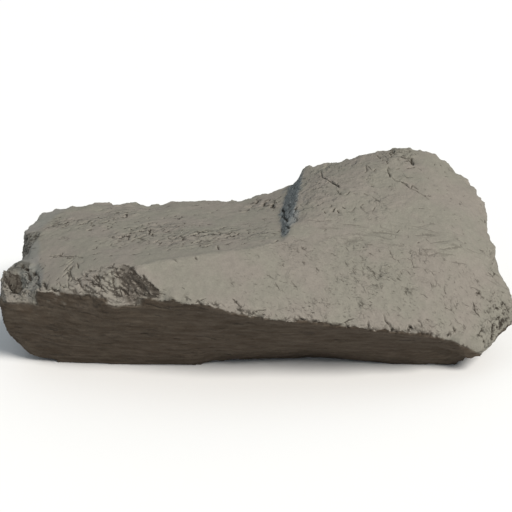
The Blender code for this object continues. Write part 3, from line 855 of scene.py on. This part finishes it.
def roughenStone(stone, crisp):
    places, facing = readMesh(stone)
    zones = stoneZones(places, facing)
    seated = seatedShare(places)
    gathered = gatherStrokes(places)
    addGroup(stone, "all", seated)
    # the edges at the back wander less, and so does the furrowed facet
    forward = 1 - 0.65 * rise(places[:, 1], 0.0, 0.025)
    addGroup(stone, "crisp", crisp * seated * forward * (1 - 0.7 * zones["furrowed"]))
    addGroup(stone, "band", numpy.maximum(zones["furrowed"], zones["band"] * 0.45) * seated)
    rugged = numpy.maximum.reduce([0.6 * zones["lump"], zones["tarnish"], 0.2 * zones["corner"]])
    addGroup(stone, "rugged", rugged * seated)
    addGroup(stone, "shelf", zones["shelf"] * (0.08 + 0.92 * gathered))
    addGroup(stone, "under", zones["under"] * seated)
    quietShelf = zones["shelf"] * (1 - gathered)
    quiet = numpy.maximum(quietShelf, zones["plateau"] * rise(places[:, 0], 0.06, 0.09))
    addGroup(stone, "grained", seated * (1 - 0.65 * quiet))
    for group, grain, height, rest in stoneRelief:
        displace(stone, group, grain, height, **rest)
    stone.vertex_groups.clear()


def thinOut(stone, dark):
    # the sides that are seen least lose triangles soonest, and the marks keep theirs
    facing = readMesh(stone)[1]
    seen = numpy.clip(0.2 + 0.9 * rise(-facing[:, 1], -0.25, 0.2) + 0.5 * rise(facing[:, 2], 0.2, 0.5), 0, 1)
    seen *= rise(facing[:, 2], -0.95, -0.75)
    addGroup(stone, "spare", 0.05 + 0.95 * (1.0 - seen * (0.55 + 0.45 * rise(dark, 0.0, 0.2))))
    applyModifier(stone, "TRIANGULATE")
    limit = stoneValues["triangles"]
    applyModifier(stone, "DECIMATE", ratio=min(1.0, limit / len(stone.data.polygons)),
                  vertex_group="spare", vertex_group_factor=stoneValues["sparing"])
    stone.vertex_groups.clear()


def addValues(piece, name, values):
    kept = piece.data.attributes.new(name, "FLOAT", "POINT")
    kept.data.foreach_set("value", values.astype(numpy.float32))


def shapeStone():
    stone = makeCopy("rock", "moonStone")
    pullOutline(stone)
    grid = stoneValues["grid"]
    applyModifier(stone, "REMESH", mode="VOXEL", voxel_size=grid, use_smooth_shade=True)
    print("stone grid", len(stone.data.vertices))
    crisp = smoothFacets(stone, grid)
    roughenStone(stone, crisp)
    print("stone broken faces roughened")
    book, zones, worn = markStone(stone, crisp)
    print("stone marks cut")
    places, facing = readMesh(stone)
    filled = relax(places, readEdges(stone), int((stoneValues["hollowReach"] * millimetre / grid) ** 2))
    hollow = ((filled - places) * facing).sum(1) / millimetre
    # the material reads these by name
    surface = {"dark": book.dark, "line": book.line, "hollow": hollow, "worn": worn}
    for name in ("under", "soiled", "shelf", "slope", "cold", "grimy", "band", "furrowed", "rugged"):
        surface[name] = zones[name]
    for name, values in surface.items():
        addValues(stone, name, values)
    thinOut(stone, book.dark)
    print("stone triangles", len(stone.data.polygons))
    return stone, list(surface)


# marks too fine for the mesh: how many cells to a metre, how big the mark is in its cell, and the share
# of cells that have one
stoneFineMarks = {
    "pricks": (800.0, 0.24, 0.8),  # down the slope
    "strokes": (700.0, 0.22, 0.45),  # along the shelf
    "grooves": (620.0, 0.25, 0.85),  # down the broken band
    "specks": (430.0, 0.42, 0.85),  # all over the rugged ends
}

# relief that only the shading shows: how strong it is and how high, in metres
stoneShadingRelief = {
    "grain": (0.5, 0.0004),
    "mottle": (0.5, 0.0010),
    "streaks": (0.5, 0.0010),
    "sheets": (0.9, 0.0016),
    "fineMarks": (0.7, 0.0005),
}


class PaintNodes:
    # short ways to add shader nodes; a value is a number, a colour or another node's output
    def __init__(self, paint):
        paint.use_nodes = True
        self.tree = paint.node_tree

    def add(self, kind, inputs=None, **settings):
        node = self.tree.nodes.new("ShaderNode" + kind)
        for name, value in settings.items():
            setattr(node, name, value)
        for name, value in (inputs or {}).items():
            if isinstance(value, bpy.types.NodeSocket):
                self.tree.links.new(value, node.inputs[name])
            else:
                node.inputs[name].default_value = value
        return node

    def calc(self, operation, first, second=0.0):
        return self.add("Math", {0: first, 1: second}, operation=operation).outputs[0]

    def times(self, first, *others):
        for other in others:
            first = self.calc("MULTIPLY", first, other)
        return first

    def most(self, first, *others):
        for other in others:
            first = self.calc("MAXIMUM", first, other)
        return first

    def without(self, share):
        return self.calc("SUBTRACT", 1.0, share)

    def fade(self, value, low, high, first=0.0, last=1.0):
        inputs = {"Value": value, "From Min": low, "From Max": high, "To Min": first, "To Max": last}
        return self.add("MapRange", inputs).outputs[0]

    def blend(self, share, first, second):
        # inputs 0, 6 and 7 of a colour mix are its share and its two colours, and output 2 the result
        if not isinstance(first, bpy.types.NodeSocket):
            first = (*first, 1.0)
        return self.add("Mix", {0: share, 6: first, 7: (*second, 1.0)}, data_type="RGBA").outputs[2]

    def read(self, name):
        return self.add("Attribute", attribute_name=name, attribute_type="GEOMETRY").outputs["Fac"]

    def noise(self, place, scale, detail=2.0, rough=0.55, distort=0.0, output="Fac"):
        inputs = {"Vector": place, "Scale": scale, "Detail": detail}
        inputs.update({"Roughness": rough, "Distortion": distort})
        return self.add("TexNoise", inputs).outputs[output]

    def stretched(self, place, turn, scale):
        # draws a pattern out along a plan direction where the first scale is under 1
        inputs = {"Vector": place, "Rotation": (0, 0, math.radians(-turn)), "Scale": scale}
        return self.add("Mapping", inputs).outputs[0]

    def curls(self, place, scale, width=0.04):
        # broken curved lines, where one noise crosses its middle and another lets it show
        wave = self.noise(place, scale, 1.0, 0.4, 0.6)
        ribbon = self.calc("ABSOLUTE", self.calc("SUBTRACT", wave, 0.5))
        gaps = self.fade(self.noise(place, scale * 0.45, 1.0), 0.52, 0.60)
        return self.times(self.fade(ribbon, 0.0, width, 1.0, 0.0), gaps)

    def steps(self, value, levels=6.0, sharp=0.16):
        # a smooth value cut into steps, and the edges of the steps
        scaled = self.times(value, levels)
        part = self.calc("FRACT", scaled)
        stepped = self.calc("ADD", self.calc("FLOOR", scaled), self.fade(part, 0.5 - sharp, 0.5 + sharp))
        edge = self.fade(self.calc("ABSOLUTE", self.calc("SUBTRACT", part, 0.5)), 0.0, sharp, 1.0, 0.0)
        return self.calc("DIVIDE", stepped, levels), edge

    def dashes(self, place, scale, size, shown, spread="2D"):
        # short separate strokes, one at most in each cell of the pattern
        cells = self.add("TexVoronoi", {"Vector": place, "Scale": scale}, voronoi_dimensions=spread)
        pick = self.add("SeparateColor", {0: cells.outputs["Color"]})
        reach = self.fade(pick.outputs[1], 0.0, 1.0, size * 0.6, size)
        stroke = self.fade(self.calc("DIVIDE", cells.outputs["Distance"], reach), 0.4, 1.0, 1.0, 0.0)
        return self.times(stroke, self.fade(pick.outputs[0], 1.0 - shown, 1.0 - shown * 0.5))


def drawMarkShade(nodes, place, ground):
    # the carved marks get a thin line of painted shade that wanders a little
    sway = nodes.fade(nodes.noise(place, 650.0), 0.3, 0.7, -0.7, 0.7)
    offLine = nodes.calc("ABSOLUTE", nodes.calc("ADD", ground["line"], sway))
    return nodes.times(ground["dark"], nodes.fade(offLine, 0.45, 1.2, 1.0, 0.0))


def drawFineMarks(nodes, place, ground):
    # each kind has its own ground, and most of them wander by a millimetre or two
    wander = (0.0024,) * 3
    inputs = {0: nodes.noise(place, 420.0, output="Color"), 1: wander, 2: place}
    wavy = nodes.add("VectorMath", inputs, operation="MULTIPLY_ADD").outputs[0]
    down = nodes.stretched(wavy, stoneValues["slopeTurn"], (0.22, 1.0, 1.0))
    along = nodes.stretched(wavy, stoneValues["shelfTurn"], (0.17, 1.0, 1.0))
    straight = nodes.stretched(place, stoneValues["slopeTurn"], (0.15, 1.0, 1.0))
    elsewhere = nodes.without(nodes.most(ground["shelf"], ground["slope"]))
    curls = nodes.times(nodes.curls(place, stoneValues["curlScale"]), elsewhere, stoneValues["curlShade"])
    pricks = nodes.times(nodes.dashes(down, *stoneFineMarks["pricks"]), ground["slope"])
    strokes = nodes.times(nodes.dashes(along, *stoneFineMarks["strokes"]), ground["shelf"])
    grooves = nodes.times(nodes.dashes(straight, *stoneFineMarks["grooves"]), ground["band"])
    specks = nodes.times(nodes.dashes(wavy, *stoneFineMarks["specks"], "3D"), ground["rugged"])
    clumps = nodes.fade(nodes.noise(place, 90.0), 0.42, 0.60)
    marks = nodes.times(nodes.most(curls, pricks, strokes), nodes.fade(clumps, 0.0, 1.0, 0.25, 1.0),
                        nodes.fade(ground["worn"], 0.0, 0.7, 0.15, 1.0))
    return nodes.times(nodes.most(marks, grooves, specks), nodes.without(ground["under"]))


def drawSheets(nodes, place, ground):
    # thin layers and their edges, which run down the slope and along the shelf
    down = nodes.stretched(place, stoneValues["slopeTurn"], (0.40, 1.0, 0.7))
    along = nodes.stretched(place, stoneValues["shelfTurn"], (0.25, 1.0, 1.0))
    downSheets, downEdges = nodes.steps(nodes.noise(down, 300.0, distort=0.4))
    alongSheets, alongEdges = nodes.steps(nodes.noise(along, 260.0, distort=0.3))
    chipped = nodes.times(ground["worn"], nodes.fade(nodes.noise(place, 190.0), 0.46, 0.60))
    sheets = nodes.add("Mix", {0: ground["shelf"], 2: downSheets, 3: alongSheets}).outputs[0]
    edges = nodes.add("Mix", {0: ground["shelf"], 2: downEdges, 3: alongEdges}).outputs[0]
    return nodes.times(sheets, chipped), nodes.times(edges, chipped)


def paintStone(stone, surfaceNames):
    paint = bpy.data.materials.new("greyStone")
    nodes = PaintNodes(paint)
    shader = nodes.tree.nodes["Principled BSDF"]
    place = nodes.add("TexCoord").outputs["Object"]
    ground = {name: nodes.read(name) for name in surfaceNames}
    under, slope, hollow = ground["under"], ground["slope"], ground["hollow"]
    level = nodes.stretched(place, 0, (0.16, 0.6, 1.0))
    streaks = nodes.noise(level, stoneValues["streakScale"], 3.0, 0.6)
    grain = nodes.noise(place, stoneValues["grainScale"], 3.0, 0.65)
    mottle = nodes.noise(place, stoneValues["mottleScale"], 4.0, 0.6)
    patches = nodes.fade(nodes.noise(place, stoneValues["patchScale"]), 0.40, 0.60)
    paintedMarkShade = drawMarkShade(nodes, place, ground)
    fineMarks = drawFineMarks(nodes, place, ground)
    sheets, edges = drawSheets(nodes, place, ground)
    # tints
    color = nodes.blend(patches, stoneValues["warmGrey"], stoneValues["greenGrey"])
    # a bluish painted shade where faces turn from the light
    color = nodes.blend(nodes.times(ground["cold"], 0.8), color, stoneValues["coldGrey"])
    # darker on the left end's rough pieces, and partly painted shade on the hollow facet
    darkening = nodes.times(ground["grimy"], nodes.fade(mottle, 0.35, 0.60, 0.6, 1.0))
    color = nodes.blend(darkening, color, stoneValues["grimeGrey"])
    # brown painted shade on the furrowed facet, which is turned from the light
    brownShade = nodes.times(ground["furrowed"], nodes.fade(mottle, 0.30, 0.55, 0.1, 0.45))
    color = nodes.blend(brownShade, color, stoneValues["brownGrey"])
    # the under side's brown, partly stain and partly painted shade
    stain = nodes.times(ground["soiled"], nodes.fade(streaks, 0.35, 0.65, 0.90, 1.0))
    color = nodes.blend(stain, color, stoneValues["stain"])
    # painted shade in hollows, in carved and fine marks and along the sheets' edges, and a broken painted
    # shadow line where the stain begins under the lip
    shadow = nodes.times(nodes.fade(hollow, 0.08, 0.45, 0.0, stoneValues["hollowShade"]),
                         nodes.fade(slope, 0.0, 1.0, 1.0, 0.4))
    breaks = nodes.fade(nodes.noise(place, 260.0), 0.42, 0.56, 0.0, stoneValues["lipShade"])
    lip = nodes.times(nodes.fade(under, 0.15, 0.5), nodes.fade(under, 0.6, 0.98, 1.0, 0.0), breaks)
    shade = nodes.most(nodes.times(paintedMarkShade, stoneValues["markShade"]), shadow,
                       nodes.times(fineMarks, stoneValues["fineShade"]),
                       nodes.times(edges, stoneValues["sheetShade"]), lip)
    color = nodes.blend(shade, color, stoneValues["deep"])
    # lighter and darker places, and a painted highlight on what stands out
    darkest, lightest, streak = (stoneValues[name] for name in ("darkestTone", "lightestTone", "streakTone"))
    tone = nodes.times(nodes.fade(mottle, 0.3, 0.7, darkest, lightest),
                       nodes.fade(grain, 0.3, 0.7, darkest, lightest),
                       nodes.fade(hollow, -0.25, -0.03, stoneValues["proudTone"], 1.0),
                       nodes.fade(slope, 0.0, 1.0, 1.0, stoneValues["slopeTone"]))
    tone = nodes.calc("ADD", tone, nodes.times(under, nodes.fade(streaks, 0.3, 0.7, streak, -streak)))
    toned = nodes.add("VectorMath", {0: color, "Scale": tone}, operation="SCALE").outputs[0]
    nodes.tree.links.new(toned, shader.inputs["Base Color"])
    heights = {"grain": grain, "mottle": mottle, "streaks": nodes.times(streaks, under), "sheets": sheets,
               "fineMarks": nodes.without(fineMarks)}
    bump = None
    for name, (strength, distance) in stoneShadingRelief.items():
        inputs = {"Height": heights[name], "Strength": strength, "Distance": distance}
        if bump:
            inputs["Normal"] = bump
        bump = nodes.add("Bump", inputs).outputs[0]
    nodes.tree.links.new(bump, shader.inputs["Normal"])
    shader.inputs["Roughness"].default_value = stoneValues["roughness"]
    shader.inputs["Specular IOR Level"].default_value = stoneValues["gloss"]
    stone.data.materials.append(paint)


makeCamera()
makeFloor()
makeLights()
print("camera, floor and lights made")

moonStone, surfaceNames = shapeStone()
paintStone(moonStone, surfaceNames)
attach(moonStone, "root")
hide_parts("rock")
print("stone made")
